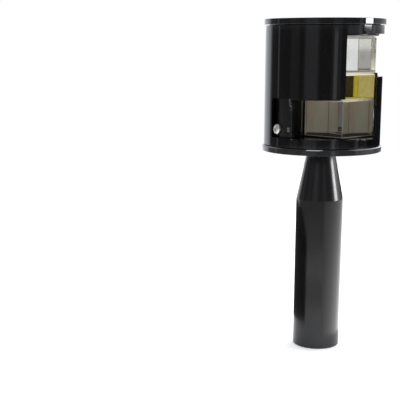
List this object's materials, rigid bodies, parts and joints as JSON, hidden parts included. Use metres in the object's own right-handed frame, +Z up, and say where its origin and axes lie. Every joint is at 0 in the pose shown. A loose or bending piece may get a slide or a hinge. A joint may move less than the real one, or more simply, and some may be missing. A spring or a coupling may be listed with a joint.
{
  "type": "optical square",
  "caption": "Hand-held double pentaprism optical square: windowed drum head with a turning shutter sleeve on a tapered round handle.",
  "frame": {"origin": "centre of the handle's flat foot", "axes": "+Z up along the handle to the top cap; the eye is on the -Y side and looks along +Y; the lower prism looks to -X and the upper prism to +X"},
  "size_m": [0.041, 0.041, 0.1146],
  "materials": {
    "handle_enamel": "satin black stoving enamel on turned brass",
    "gloss_enamel": "gloss black stoving enamel",
    "inner_black": "matt black inside paint",
    "prism_glass": "polished crown glass with ground edges",
    "amber_glass": "polished yellow filter glass",
    "silvering": "silvered coat under brown lacquer",
    "pad_cork": "thin cork composition pad",
    "stud_brass": "turned",
    "stop_screw_nickel": "bright nickel plate",
    "grub_steel": "blued steel",
    "flat_screw_steel": "turned steel"
  },
  "bodies": {
    "square_body": {"handle": "handle_enamel", "handle_stud": "stud_brass", "base_flange": "gloss_enamel", "base_screws": "flat_screw_steel", "base_plug": "inner_black", "drum": "inner_black", "seat_pad": "pad_cork", "lower_prism": "prism_glass", "lower_mirror_backs": "silvering", "sighting_block": "amber_glass", "upper_prism": "prism_glass", "upper_mirror_backs": "silvering", "top_pad": "pad_cork", "left_block": "inner_black", "right_block": "inner_black", "stop_screw": "stop_screw_nickel", "block_screws": "grub_steel", "top_plug": "inner_black", "top_cap": "gloss_enamel", "cap_screws": "flat_screw_steel"},
    "shutter": {"shutter_sleeve": "gloss_enamel"}
  },
  "joints": [
    {"name": "shutter_turn", "type": "hinge", "parent": "square_body", "child": "shutter", "pos_m": [0, 0, 0.0923], "axis": [0, 0, 1], "range_deg": [-110, 0]}
  ]
}
